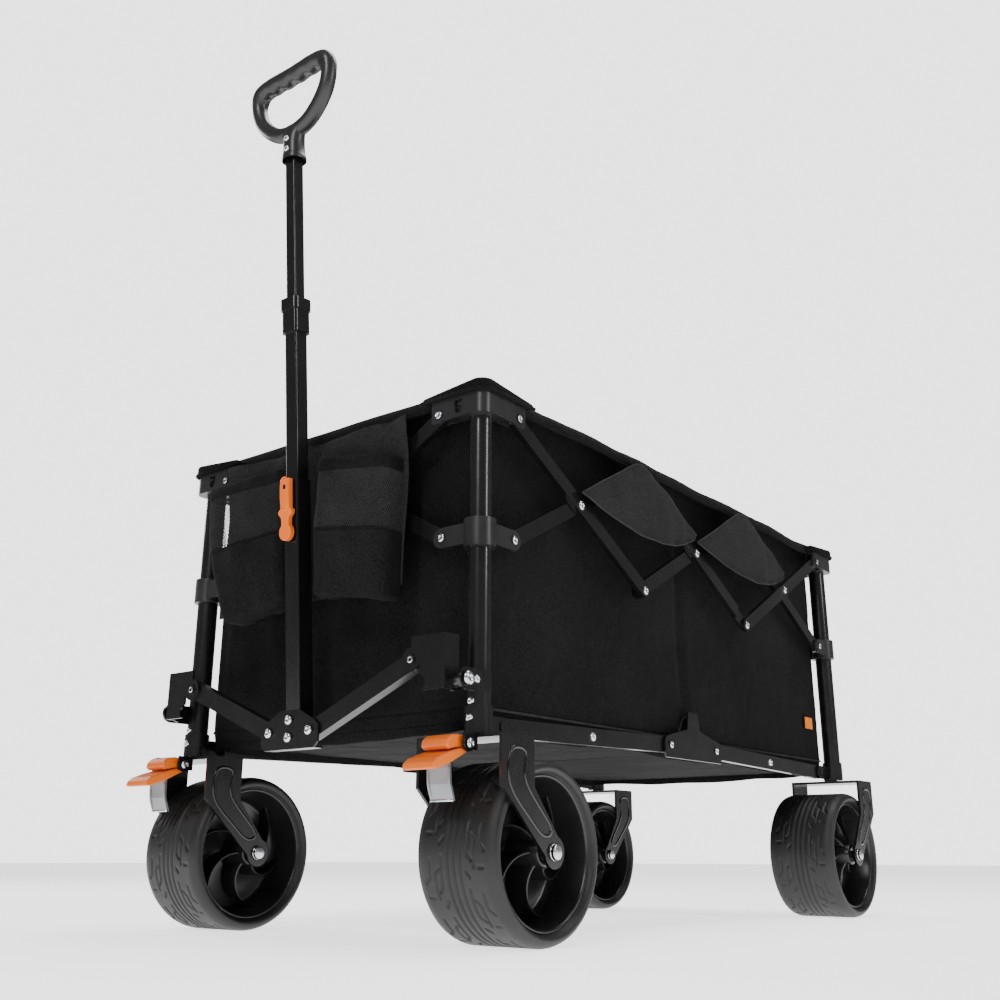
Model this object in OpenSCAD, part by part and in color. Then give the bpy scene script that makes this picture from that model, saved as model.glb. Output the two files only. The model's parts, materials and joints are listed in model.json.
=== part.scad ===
/* [Frame] */
// Half of the distance between the corner posts, across the wagon
half_w = 253; // [200:1:300]
// Half of the distance between the corner posts, along the wagon
half_l = 499; // [400:1:600]
// Shift of the whole wagon along its length, so its outline is centred
mid_y = 42.8; // [0:0.5:80]
// Height of the pivots in the top corner caps
cap_z = 614; // [560:1:680]
// Distance of a cap or slider pivot from the centre of its post
pivot_out = 48; // [40:1:56]
// Slope of the scissor bars when the wagon stands open, in degrees
open_deg = 29; // [25:0.5:35]
// Scissor bar length from a corner pivot to the first crossing
arm_a = 160; // [150:1:170]
// Width of the scissor bars
bar_w = 20; // [16:1:24]
// Thickness of the scissor bars
bar_t = 8; // [6:0.5:9]
// Outer diameter of the corner posts
post_d = 28; // [24:1:30]

/* [Base] */
// Height of the side rail pivots at the corner posts
rail_z = 238; // [237:0.5:240]
// Height of the side rail pivots at the middle brackets
rail_mid_z = 247; // [243:1:250]
// Distance of those pivots from the middle of the wagon
rail_mid_y = 67; // [50:1:80]
// Height of the handle tilt axis
tilt_z = 283; // [275:1:290]

/* [Wheels] */
// Wheel diameter
wheel_d = 200; // [180:1:220]
// Wheel width
wheel_w = 112; // [90:1:116]
// Distance of the castor stems from the middle plane
stem_x = 248; // [240:1:253]
// Trail of the front castors
trail_f = 65; // [40:1:80]
// Trail of the rear castors
trail_r = 55; // [40:1:80]

/* [Handle] */
// Forward lean of the handle, in degrees
lean = 5; // [0:0.5:10]
// Size of the lower handle tube
tube_a = 25; // [22:0.5:28]
// Size of the middle handle tube
tube_b = 21.4; // [18:0.2:22]
// Size of the top handle tube
tube_c = 17.8; // [15:0.2:18.4]

/* [Hidden] */
$fn = 48;
e = 0.01;
// radius of a running pin and of its bore
pin_r = 4;
bore_r = 4.05;
// flattened ends of bars that share a plane
lap = 34;
// inner scissor arms of the sides and of the ends
arm_b = ((half_l - pivot_out) - arm_a * cos(open_deg)) / 2 / cos(open_deg);
arm_c = ((half_w - pivot_out) - arm_a * cos(open_deg)) / cos(open_deg);
cross_z = cap_z - arm_a * sin(open_deg);
slider_z = cap_z - 2 * arm_a * sin(open_deg);
joint_y = arm_b * cos(open_deg);
low_z = cross_z - arm_b * sin(open_deg);
high_z = cross_z + arm_b * sin(open_deg);
// offsets from the post centre of the two bar planes
plane_1 = 1.5;
plane_2 = 10.5;
post_r = post_d / 2;
axle_z = wheel_d / 2;
// brace arms of the handle, seen from the post centre
brace_x = 54;
brace_z = 308;
plate_px = 36;
plate_pz = 240;
// handle tilt axis, in front of the post centre, and the ears on the posts
tilt_y = 38;
tilt_r = 12.5;
ear_r = 11;
handle_y = 537.2;
handle_z = 245;

// ---- placing helpers ----

// everything is drawn about the middle of the four posts
module shifted() {
  translate([0, mid_y, 0]) children();
}

// a piece drawn for the front right corner: x outward, y along the side
module corner(sx, sy) {
  shifted()
    translate([sx * half_w, sy * half_l, 0])
      flip_x(sx)
        flip_y(-sy)
          children();
}

module flip_x(s) {
  if (s < 0) mirror([1, 0, 0]) children();
  else children();
}

module flip_y(s) {
  if (s < 0) mirror([0, 1, 0]) children();
  else children();
}

// a bar drawn along x, lying in the side plane, thickness outward
module in_side(s, y, z, a, off) {
  shifted()
    flip_x(s)
      translate([half_w + off, y, z])
        rotate([90, 0, 90])
          rotate([0, 0, a])
            children();
}

// a bar drawn along x, lying in the front plane, thickness outward
module in_end(sx, sy, x, z, a, off) {
  shifted()
    flip_x(sx)
      flip_y(-sy)
        translate([x, -half_l - off, z])
          rotate([90, 0, 0])
            rotate([0, 0, a])
              children();
}

// ---- small shapes ----

module rod_x(r, x0, x1) {
  translate([x0, 0, 0]) rotate([0, 90, 0]) cylinder(r = r, h = x1 - x0);
}

module rod_y(r, y0, y1) {
  translate([0, y1, 0]) rotate([90, 0, 0]) cylinder(r = r, h = y1 - y0);
}

// a flat strip with round ends, from x = 0 to x = len
module strip(len, w, t) {
  translate([0, -w / 2, 0]) cube([len, w, t]);
  cylinder(r = w / 2, h = t);
  translate([len, 0, 0]) cylinder(r = w / 2, h = t);
}

// a rivet fixed in one bar: shank, domed head outside, flat head inside
module rivet(x, z0, z1) {
  translate([x, 0, z0 - 1.5]) cylinder(r = pin_r, h = z1 - z0 + 2);
  translate([x, 0, z1 - e]) cylinder(r1 = 6.5, r2 = 4.5, h = 2);
  translate([x, 0, z0 - 1.5]) cylinder(r = 6, h = 1.2);
}

// a bar with bores; laps: -1 keeps the inner half, 1 the outer, 0 all
module bar(len, bores, lap_0, lap_1) {
  difference() {
    strip(len, bar_w, bar_t);
    for (b = bores) {
      translate([b, 0, -1]) cylinder(r = bore_r, h = bar_t + 2);
    }
    if (lap_0 > 0) translate([-15, -15, -1]) cube([lap + 15, 30, bar_t / 2 + 1.2]);
    if (lap_0 < 0) translate([-15, -15, bar_t / 2 - 0.2]) cube([lap + 15, 30, bar_t]);
    if (lap_1 > 0) translate([len - lap, -15, -1]) cube([lap + 15, 30, bar_t / 2 + 1.2]);
    if (lap_1 < 0) translate([len - lap, -15, bar_t / 2 - 0.2]) cube([lap + 15, 30, bar_t]);
  }
}

// a square tube with soft edges along z
module soft_square(s, h, r) {
  translate([-s / 2 + r, -s / 2, 0]) cube([s - 2 * r, s, h]);
  translate([-s / 2, -s / 2 + r, 0]) cube([s, s - 2 * r, h]);
  for (x = [-1, 1]) {
    for (y = [-1, 1]) {
      translate([x * (s / 2 - r), y * (s / 2 - r), 0]) cylinder(r = r, h = h);
    }
  }
}

// ---- corner pieces ----

// post tube with its foot plug, rail ear and, in front, the tilt ear
module corner_post(sx, sy) {
  corner(sx, sy)
    color("black")
      difference() {
        union() {
          translate([0, 0, 226]) cylinder(r = post_r, h = 400);
          translate([0, 0, 226]) cylinder(r = post_r + 2.5, h = 30);
          translate([-5, 0, rail_z - ear_r]) cube([3, 47, 2 * ear_r]);
          translate([0, 47, rail_z]) rod_x(ear_r, -5, -2);
          translate([0, 47, rail_z]) rod_x(pin_r, -16.5, -4);
          translate([0, 47, rail_z]) rod_x(6, -16.7, -15.4);
          translate([0, 47, rail_z]) rod_x(6, -2.5, -0.5);
          if (sy < 0) {
            translate([11, -tilt_y, tilt_z - tilt_r]) cube([3, tilt_y + 6, 2 * tilt_r]);
            translate([0, -tilt_y, tilt_z]) rod_x(tilt_r, 11, 14);
          }
        }
        translate([0, 0, 250]) cylinder(r = post_r - 1.6, h = 400);
        translate([stem_x - half_w, 0, 220]) cylinder(r = 6.05, h = 60);
        translate([0, -tilt_y, tilt_z]) rod_x(5.05, 8, 20);
      }
}

// moulded corner cap: a hollow wing along each side, slotted for the bars
module corner_cap(sx, sy) {
  corner(sx, sy)
    color("dimgray") {
      difference() {
        union() {
          translate([-16, -23, cap_z - 9]) cube([25, 39, 28]);
          translate([-16, -9, cap_z - 9]) cube([39, 25, 28]);
          translate([9, -9, cap_z - 9]) cylinder(r = 14, h = 28);
          translate([6.5, 10, cap_z - 9]) cube([16.5, 50, 28]);
          translate([-60, -23, cap_z - 9]) cube([50, 16.5, 28]);
        }
        translate([0, 0, cap_z - 10]) cylinder(r = post_r + 0.1, h = 23);
        translate([10.1, 22, cap_z - 10]) cube([8.8, 50, 23]);
        translate([-72, -18.9, cap_z - 10]) cube([50, 8.8, 23]);
        translate([-17, 0, cap_z + 1]) rod_y(5.5, -24, -18);
        translate([-23, -24, cap_z + 9]) cube([12, 6, 4]);
        translate([-23, -24, cap_z + 5]) cube([4, 6, 8]);
      }
      translate([0, pivot_out, cap_z]) rod_x(pin_r, 9, 20);
      translate([0, pivot_out, cap_z]) rod_x(6, 22.5, 24.5);
      translate([-pivot_out, 0, cap_z]) rod_y(pin_r, -20, -9);
      translate([-pivot_out, 0, cap_z]) rod_y(6, -24.5, -22.5);
    }
}

// sleeve that runs on the post, with an ear for each side's bars
module slider(sx, sy) {
  corner(sx, sy)
    color("dimgray") {
      difference() {
        union() {
          translate([0, 0, slider_z - 17]) cylinder(r = 19.4, h = 34);
          translate([10.5, 0, slider_z - 12.5]) cube([4, pivot_out, 25]);
          translate([0, pivot_out, slider_z]) rod_x(12.5, 10.5, 14.5);
          translate([-pivot_out, -14.5, slider_z - 12.5]) cube([pivot_out, 4, 25]);
          translate([-pivot_out, 0, slider_z]) rod_y(12.5, -14.5, -10.5);
        }
        translate([0, 0, slider_z - 20]) cylinder(r = post_r + 0.3, h = 40);
      }
      translate([0, pivot_out, slider_z]) rod_x(pin_r, 0.2, 12);
      translate([0, pivot_out, slider_z]) rod_x(6, 0, 1.2);
      translate([0, pivot_out, slider_z]) rod_x(6, 14.4, 16.2);
      translate([-pivot_out, 0, slider_z]) rod_y(pin_r, -12, -0.2);
      translate([-pivot_out, 0, slider_z]) rod_y(6, -1.2, 0);
      translate([-pivot_out, 0, slider_z]) rod_y(6, -16.2, -14.4);
    }
}

// ---- scissor bars ----

module side_bar(s, n) {
  end_y = half_l - pivot_out;
  color("black") {
    if (n == 1)
      in_side(s, -end_y, cap_z, -open_deg, plane_2) {
        bar(arm_a + arm_b, [0], 0, 0);
        rivet(arm_a, -9, 8);
        rivet(arm_a + arm_b, -9, 8);
      }
    if (n == 2)
      in_side(s, -end_y, slider_z, open_deg, plane_1)
        bar(arm_a + arm_b, [0, arm_a, arm_a + arm_b], 0, 0);
    if (n == 3)
      in_side(s, -joint_y, low_z, open_deg, plane_1)
        bar(2 * arm_b, [0, arm_b, 2 * arm_b], 0, -1);
    if (n == 4)
      in_side(s, -joint_y, high_z, -open_deg, plane_2) {
        bar(2 * arm_b, [2 * arm_b], 0, -1);
        rivet(0, -9, 8);
        rivet(arm_b, -9, 8);
      }
    if (n == 5)
      in_side(s, joint_y, low_z, open_deg, plane_2) {
        bar(arm_a + arm_b, [arm_a + arm_b], 1, 0);
        rivet(0, 0, 8);
        rivet(arm_b, -9, 8);
      }
    if (n == 6)
      in_side(s, joint_y, high_z, -open_deg, plane_1) {
        bar(arm_a + arm_b, [arm_b, arm_a + arm_b], 1, 0);
        rivet(0, 0, 8);
      }
  }
}

module end_bar(sy, n) {
  end_x = half_w - pivot_out;
  color("black") {
    if (n == 1)
      in_end(-1, sy, -end_x, cap_z, -open_deg, plane_2) {
        bar(arm_a + arm_c, [0, arm_a + arm_c], 0, -1);
        rivet(arm_a, -9, 8);
      }
    if (n == 2)
      in_end(-1, sy, -end_x, slider_z, open_deg, plane_1)
        bar(arm_a + arm_c, [0, arm_a, arm_a + arm_c], 0, -1);
    if (n == 3)
      in_end(1, sy, -end_x, cap_z, -open_deg, plane_2) {
        bar(arm_a + arm_c, [0], 0, 1);
        rivet(arm_a, -9, 8);
        rivet(arm_a + arm_c, 0, 8);
      }
    if (n == 4)
      in_end(1, sy, -end_x, slider_z, open_deg, plane_1) {
        bar(arm_a + arm_c, [0, arm_a], 0, 1);
        rivet(arm_a + arm_c, 0, 8);
      }
  }
}

// ---- handle mount ----

// folded bracket that tilts on the post ear and carries the brace arm
module brace_bracket(sx) {
  corner(sx, -1)
    color("black") {
      difference() {
        union() {
          translate([-brace_x, 0, brace_z]) rod_y(14, -55.8, -52.8);
          translate([-brace_x, -55.8, brace_z - 8]) cube([51, 3, 34]);
          translate([-40, -55.8, 272]) cube([37, 3, 62]);
          translate([-6, -55.8, 272]) cube([3, 24, 62]);
          translate([0, -tilt_y, tilt_z]) rod_x(13, -6, -3);
        }
        translate([-42, 0, 280]) rod_y(10, -60, -50);
      }
      translate([0, -tilt_y, tilt_z]) rod_x(5, -5, 16);
      translate([0, -tilt_y, tilt_z]) rod_x(9, -3.2, 10.6);
      translate([0, -tilt_y, tilt_z]) rod_x(8, 14.3, 17);
      translate([-brace_x, 0, brace_z]) rod_y(pin_r, -54, -37.2);
      translate([-brace_x, 0, brace_z]) rod_y(6, -38.2, -37);
      translate([-brace_x, 0, brace_z]) rod_y(6.5, -57.8, -55.6);
    }
}

// oval tube from the bracket down to the centre plate
module brace_arm(sx) {
  dx = half_w - brace_x - plate_px;
  dz = brace_z - plate_pz;
  len = sqrt(dx * dx + dz * dz);
  shifted()
    flip_x(-sx)
      translate([-(half_w - brace_x), -half_l - 38.5, brace_z])
        rotate([90, 0, 0])
          rotate([0, 0, -atan(dz / dx)])
            color("black")
              difference() {
                strip(len, 22, 14);
                translate([0, 0, -1]) cylinder(r = bore_r, h = 16);
                translate([len, 0, -1]) cylinder(r = bore_r, h = 16);
              }
}

module centre_plate() {
  y0 = -half_l - 55.8;
  shifted()
    color("black") {
      translate([0, y0 + 3, 0])
        rotate([90, 0, 0])
          linear_extrude(3)
            polygon([[-44, 219], [44, 219], [51, 226], [51, 246], [44, 252], [17, 266],
              [-17, 266], [-44, 252], [-51, 246], [-51, 226]]);
      translate([-44, y0, 219]) cube([88, 16, 3]);
      translate([plate_px, 0, plate_pz]) rod_y(pin_r, y0 + 1, y0 + 18.8);
      translate([plate_px, 0, plate_pz]) rod_y(6, y0 + 17.6, y0 + 18.8);
      for (p = [[-plate_px, plate_pz], [plate_px, plate_pz], [0, 254], [0, 233]]) {
        translate([p[0], 0, p[1]]) rod_y(6, y0 - 2, y0 + 0.5);
      }
    }
}

// ---- handle ----

// z runs up the tubes, from the bottom of the lower one
module on_handle() {
  shifted()
    translate([0, -handle_y, handle_z])
      rotate([lean, 0, 0])
        children();
}

module handle_lower_tube() {
  on_handle()
    color("black")
      difference() {
        translate([0, 0, -16]) soft_square(tube_a, 332, 3);
        translate([0, 0, -17]) soft_square(tube_a - 3, 340, 2);
        translate([0, 0, 296]) rod_y(4.5, -20, 0);
      }
}

module handle_middle_tube() {
  on_handle() {
    color("black")
      difference() {
        translate([0, 0, 250]) soft_square(tube_b, 290, 2.5);
        translate([0, 0, 249]) soft_square(tube_b - 3, 300, 1.5);
      }
    color("dimgray")
      difference() {
        union() {
          translate([0, 0, 519]) soft_square(28, 36, 5);
          translate([0, 0, 551]) soft_square(32, 16, 7);
        }
        translate([0, 0, 518]) soft_square(tube_b + 0.1, 22.2, 2.5);
        translate([0, 0, 530]) soft_square(tube_c + 0.5, 50, 2);
      }
  }
}

module handle_top_tube() {
  on_handle()
    color("black")
      difference() {
        translate([0, 0, 480]) soft_square(tube_c, 325, 2);
        translate([0, 0, 479]) soft_square(tube_c - 3, 340, 1);
      }
}

// looped grip: neck, two arms and the hand bar
module handle_grip() {
  on_handle()
    color("black") {
      difference() {
        translate([0, 0, 779]) soft_square(28, 50, 6);
        translate([0, 0, 778]) soft_square(tube_c + 0.1, 32.2, 2);
      }
      for (s = [-1, 1]) {
        hull() {
          translate([0, 0, 820]) sphere(r = 13, $fn = 24);
          translate([s * 44, 0, 838]) sphere(r = 11.5, $fn = 24);
        }
        hull() {
          translate([s * 44, 0, 838]) sphere(r = 11.5, $fn = 24);
          translate([s * 71, 0, 870]) sphere(r = 11.5, $fn = 24);
        }
        hull() {
          translate([s * 71, 0, 870]) sphere(r = 11.5, $fn = 24);
          translate([s * 72, 0, 911]) sphere(r = 13, $fn = 24);
        }
      }
      hull() {
        translate([-72, 0, 911]) sphere(r = 13, $fn = 24);
        translate([72, 0, 911]) sphere(r = 13, $fn = 24);
      }
    }
}

// thumb lever at the top of the lower tube
module handle_latch() {
  on_handle()
    color("orange") {
      translate([-8, -20.5, 236]) cube([16, 5, 80]);
      translate([0, 0, 244]) rod_y(10, -23, -15.5);
      translate([0, -14.9, 296]) rod_x(2.2, -7.5, 7.5);
      translate([-7.5, -16.5, 294.5]) cube([15, 1.6, 3]);
      translate([0, 0, 296]) rod_y(2.9, -17, -11.3);
    }
}

// ---- castors ----

// pressed fork with its stem and the wheel bolt
module castor_fork(sx, sy) {
  trail = sy < 0 ? trail_f : trail_r;
  h = wheel_w / 2 + 1.5;
  shifted()
    translate([sx * stem_x, sy * half_l, 0])
      flip_y(-sy)
        color("black") {
          translate([-h - 4, -29, 219]) cube([2 * h + 8, 58, 4]);
          for (s = [-1, 1]) {
            translate([s > 0 ? h : -h - 4, 0, 0]) {
              translate([0, -29, 168]) cube([4, 58, 53]);
              rotate([90, 0, 90])
                linear_extrude(4)
                  polygon([[-29, 168], [29, 168], [trail + 17, 104], [trail - 17, 96]]);
              translate([0, trail, axle_z]) rod_x(18, 0, 4);
            }
          }
          translate([0, 0, 221]) cylinder(r = 6, h = 27);
          translate([0, 0, 223 - e]) cylinder(r = 11, h = 2.7);
          translate([0, trail, axle_z]) rod_x(6, -h - 8, h + 8);
          translate([0, trail, axle_z]) rod_x(9, -h - 8, -h - 3.5);
          translate([0, trail, axle_z]) rod_x(9, h + 3.5, h + 8);
          if (sy < 0) {
            for (s = [-1, 1]) {
              translate([s > 0 ? 23 : -26, -49, 205]) cube([3, 22, 18]);
              translate([0, -41, 212]) rod_x(9, s > 0 ? 23 : -26, s > 0 ? 26 : -23);
            }
            translate([0, -41, 212]) rod_x(pin_r, -28, 28);
          }
        }
}

// tyre and rim; the tyre has three grooves round its tread
module wheel(sx, sy) {
  trail = sy < 0 ? trail_f : -trail_r;
  w = wheel_w / 2;
  r = wheel_d / 2;
  rim_r = r - 16;
  shifted()
    translate([sx * stem_x, sy * half_l + trail, axle_z])
      rotate([0, 90, 0]) {
        color("black")
          rotate_extrude($fn = 72)
            polygon([[rim_r, -w + 8], [rim_r + 2, -w + 2], [r - 10, -w], [r - 5, -w + 2], [r - 2, -w + 7],
              [r, -w + 14], [r, -18], [r - 3, -17], [r - 3, -14], [r, -13],
              [r, -3], [r - 3, -2], [r - 3, 2], [r, 3],
              [r, 13], [r - 3, 14], [r - 3, 17], [r, 18], [r, w - 14],
              [r - 2, w - 7], [r - 5, w - 2], [r - 10, w], [rim_r + 2, w - 2], [rim_r, w - 8]]);
        color("dimgray")
          difference() {
            union() {
              difference() {
                translate([0, 0, -w + 9]) cylinder(r = rim_r - 0.1, h = 2 * w - 18);
                translate([0, 0, w - 23]) cylinder(r = rim_r - 4, h = 20);
                translate([0, 0, -w + 3]) cylinder(r = rim_r - 4, h = 20);
              }
              translate([0, 0, -w + 4]) cylinder(r = 20, h = 2 * w - 8);
            }
            translate([0, 0, -60]) cylinder(r = 6.05, h = 120);
          }
      }
}

// foot pedal and the bent steel tongue that meets the tyre
module brake_pedal(sx) {
  shifted()
    translate([sx * stem_x, -half_l - 41, 212]) {
      color("orange")
        difference() {
          union() {
            rod_x(8, -22.5, 22.5);
            translate([-22.5, 0, 0])
              rotate([90, 0, 90])
                linear_extrude(45)
                  polygon([[0, 8], [-24, 5], [-28, -6], [-54, -22], [-54, -30], [-24, -21], [0, -8]]);
          }
          rod_x(bore_r, -30, 30);
        }
      color("silver")
        translate([-18, 0, 0])
          rotate([90, 0, 90])
            linear_extrude(36)
              polygon([[-22, -20.3], [-19, -18.7], [-17, -42], [-10, -60], [-13, -61], [-20, -43]]);
    }
}

// ---- base ----

module side_rail(s, sy) {
  dy = half_l - 47 - rail_mid_y;
  dz = rail_mid_z - rail_z;
  len = sqrt(dy * dy + dz * dz);
  shifted()
    flip_y(-sy)
      flip_x(s)
        translate([half_w - 15, -half_l + 47, rail_z])
          rotate([90, 0, 90])
            rotate([0, 0, atan(dz / dy)])
              color("black")
                difference() {
                  strip(len, 2 * ear_r, 9);
                  translate([0, 0, -1]) cylinder(r = bore_r, h = 12);
                  translate([len, 0, -1]) cylinder(r = bore_r, h = 12);
                }
}

module middle_bracket(s) {
  y = rail_mid_y;
  shifted()
    flip_x(s)
      color("black") {
        translate([half_w - 5, 0, 0])
          rotate([90, 0, 90])
            linear_extrude(3)
              polygon([[-y - 14, 229], [y + 14, 229], [y + 16, 236], [y + 16, 252], [y + 10, 259],
                [18, 272], [14, 298], [-14, 298], [-18, 272], [-y - 10, 259],
                [-y - 16, 252], [-y - 16, 236]]);
        translate([half_w, -y, rail_mid_z]) rod_x(pin_r, -16.5, -3);
        translate([half_w, -y, rail_mid_z]) rod_x(6, -16.7, -15.4);
        translate([half_w, -y, rail_mid_z]) rod_x(6, -2.2, -0.5);
        translate([half_w, y, rail_mid_z]) rod_x(6, -2.2, -0.5);
      }
}

// ---- fabric ----

// sewn tub: floor and four walls
module fabric_basket() {
  x = half_w - 20;
  y = half_l - 20;
  shifted()
    color("gray") {
      translate([-x, -y, 238]) cube([2 * x, 2 * y, 3]);
      for (s = [-1, 1]) {
        translate([s > 0 ? x - 3 : -x, -y, 241]) cube([3, 2 * y, 397]);
        translate([-x + 3, s > 0 ? y - 3 : -y, 241]) cube([2 * x - 6, 3, 397]);
      }
    }
}

// two cup pockets that hang in front of the bars
module front_pockets() {
  y = -half_l - 23;
  shifted()
    color("gray")
      for (s = [-1, 1]) {
        translate([s > 0 ? 26 : -176, 0, 0])
          difference() {
            translate([0, y - 40, 402]) cube([150, 40, 186]);
            translate([2, y - 38, 404]) cube([146, 36, 190]);
          }
      }
}

// ---- one module per sub-part ----

module corner_post_fr() {
  corner_post(1, -1);
}

module corner_post_fl() {
  corner_post(-1, -1);
}

module corner_post_rr() {
  corner_post(1, 1);
}

module corner_post_rl() {
  corner_post(-1, 1);
}

module corner_cap_fr() {
  corner_cap(1, -1);
}

module corner_cap_fl() {
  corner_cap(-1, -1);
}

module corner_cap_rr() {
  corner_cap(1, 1);
}

module corner_cap_rl() {
  corner_cap(-1, 1);
}

module slider_fr() {
  slider(1, -1);
}

module slider_fl() {
  slider(-1, -1);
}

module slider_rr() {
  slider(1, 1);
}

module slider_rl() {
  slider(-1, 1);
}

module side_bar_right_1() {
  side_bar(1, 1);
}

module side_bar_right_2() {
  side_bar(1, 2);
}

module side_bar_right_3() {
  side_bar(1, 3);
}

module side_bar_right_4() {
  side_bar(1, 4);
}

module side_bar_right_5() {
  side_bar(1, 5);
}

module side_bar_right_6() {
  side_bar(1, 6);
}

module side_bar_left_1() {
  side_bar(-1, 1);
}

module side_bar_left_2() {
  side_bar(-1, 2);
}

module side_bar_left_3() {
  side_bar(-1, 3);
}

module side_bar_left_4() {
  side_bar(-1, 4);
}

module side_bar_left_5() {
  side_bar(-1, 5);
}

module side_bar_left_6() {
  side_bar(-1, 6);
}

module front_bar_1() {
  end_bar(-1, 1);
}

module front_bar_2() {
  end_bar(-1, 2);
}

module front_bar_3() {
  end_bar(-1, 3);
}

module front_bar_4() {
  end_bar(-1, 4);
}

module rear_bar_1() {
  end_bar(1, 1);
}

module rear_bar_2() {
  end_bar(1, 2);
}

module rear_bar_3() {
  end_bar(1, 3);
}

module rear_bar_4() {
  end_bar(1, 4);
}

module brace_bracket_right() {
  brace_bracket(1);
}

module brace_bracket_left() {
  brace_bracket(-1);
}

module brace_arm_right() {
  brace_arm(1);
}

module brace_arm_left() {
  brace_arm(-1);
}

module castor_fork_fr() {
  castor_fork(1, -1);
}

module castor_fork_fl() {
  castor_fork(-1, -1);
}

module castor_fork_rr() {
  castor_fork(1, 1);
}

module castor_fork_rl() {
  castor_fork(-1, 1);
}

module wheel_fr() {
  wheel(1, -1);
}

module wheel_fl() {
  wheel(-1, -1);
}

module wheel_rr() {
  wheel(1, 1);
}

module wheel_rl() {
  wheel(-1, 1);
}

module brake_pedal_fr() {
  brake_pedal(1);
}

module brake_pedal_fl() {
  brake_pedal(-1);
}

module side_rail_fr() {
  side_rail(1, -1);
}

module side_rail_fl() {
  side_rail(-1, -1);
}

module side_rail_rr() {
  side_rail(1, 1);
}

module side_rail_rl() {
  side_rail(-1, 1);
}

module middle_bracket_right() {
  middle_bracket(1);
}

module middle_bracket_left() {
  middle_bracket(-1);
}

corner_post_fr();
corner_post_fl();
corner_post_rr();
corner_post_rl();
corner_cap_fr();
corner_cap_fl();
corner_cap_rr();
corner_cap_rl();
slider_fr();
slider_fl();
slider_rr();
slider_rl();
side_bar_right_1();
side_bar_right_2();
side_bar_right_3();
side_bar_right_4();
side_bar_right_5();
side_bar_right_6();
side_bar_left_1();
side_bar_left_2();
side_bar_left_3();
side_bar_left_4();
side_bar_left_5();
side_bar_left_6();
front_bar_1();
front_bar_2();
front_bar_3();
front_bar_4();
rear_bar_1();
rear_bar_2();
rear_bar_3();
rear_bar_4();
brace_bracket_right();
brace_bracket_left();
brace_arm_right();
brace_arm_left();
centre_plate();
handle_lower_tube();
handle_middle_tube();
handle_top_tube();
handle_grip();
handle_latch();
castor_fork_fr();
castor_fork_fl();
castor_fork_rr();
castor_fork_rl();
wheel_fr();
wheel_fl();
wheel_rr();
wheel_rl();
brake_pedal_fr();
brake_pedal_fl();
side_rail_fr();
side_rail_fl();
side_rail_rr();
side_rail_rl();
middle_bracket_right();
middle_bracket_left();
fabric_basket();
front_pockets();
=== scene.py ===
import json
import math

import bpy
import numpy as np
from mathutils import Matrix, Vector, noise


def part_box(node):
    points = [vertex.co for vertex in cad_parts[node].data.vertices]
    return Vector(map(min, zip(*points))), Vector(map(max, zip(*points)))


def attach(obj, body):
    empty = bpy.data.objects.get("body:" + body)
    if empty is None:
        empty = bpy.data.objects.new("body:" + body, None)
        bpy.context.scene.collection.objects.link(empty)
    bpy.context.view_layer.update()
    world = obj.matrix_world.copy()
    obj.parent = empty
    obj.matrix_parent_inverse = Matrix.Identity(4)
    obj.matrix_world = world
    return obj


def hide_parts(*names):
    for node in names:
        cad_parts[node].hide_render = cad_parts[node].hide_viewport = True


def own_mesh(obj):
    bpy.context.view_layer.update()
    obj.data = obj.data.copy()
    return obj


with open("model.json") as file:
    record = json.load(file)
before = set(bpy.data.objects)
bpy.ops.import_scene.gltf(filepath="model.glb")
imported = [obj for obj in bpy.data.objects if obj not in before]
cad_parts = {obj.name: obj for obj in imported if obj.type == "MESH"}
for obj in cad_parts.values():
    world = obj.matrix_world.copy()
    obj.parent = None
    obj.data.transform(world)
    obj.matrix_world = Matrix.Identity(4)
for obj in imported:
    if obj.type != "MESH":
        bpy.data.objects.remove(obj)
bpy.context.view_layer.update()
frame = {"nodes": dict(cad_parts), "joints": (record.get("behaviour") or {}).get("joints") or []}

# ---- dimensions, all taken from the frame ----

MM = 0.001
JOINTS = {j["name"]: j for j in frame["joints"]}
CAP_HEAD = 24.5 * MM  # rivet heads of the caps, beyond the post centres
BAR_FACE = 18.5 * MM  # outer face of the outer scissor bars, beyond the post centres
CAP_FACE = 22.6 * MM  # outer face of the caps, beyond the post centres
SLIDER_FACE = 14.6 * MM  # outer face of the sliders' ears, beyond the post centres
PLATE_FACE = 57.6 * MM  # front face of the tilt brackets and the centre plate, before the front posts
cap_low, cap_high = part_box("corner_cap_fr")
rear_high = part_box("corner_cap_rl")[1]
HALF_W = cap_high[0] - CAP_HEAD
MID_Y = (cap_low[1] + rear_high[1]) / 2
HALF_L = (rear_high[1] - cap_low[1]) / 2 - CAP_HEAD
CAP_TOP = cap_high[2]
FLOOR_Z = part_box("fabric_basket")[0][2]
SEAM_Z = FLOOR_Z + 22 * MM
WALL = 16.5 * MM  # distance of the walls inside the post centres
WHEEL_SPAN = [high - low for low, high in zip(*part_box("wheel_fr"))]
TREAD_HALF = WHEEL_SPAN[0] / 2 / MM  # half width of the tyre, in millimetres
TYRE_R = WHEEL_SPAN[2] / 2 / MM
FORK_FACE = (TREAD_HALF + 5.5) * MM  # outer face of the fork legs, beyond the wheel centre
LATCH_UP = 296 * MM  # the latch's pivot in the handle's own frame: up the tubes,
LATCH_FRONT = 14.9 * MM  # and before their middle
SIDES = ((1, "right"), (-1, "left"))
# each corner with its direction in x and y, and the body that carries its wheel
CORNERS = (
    ("fr", 1, -1, "castor_fork_fr"), ("fl", -1, -1, "castor_fork_fl"),
    ("rr", 1, 1, "corner_rr"), ("rl", -1, 1, "corner_rl"),
)


def pivot(name):
    return Vector(JOINTS[name]["pos_m"])


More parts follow.
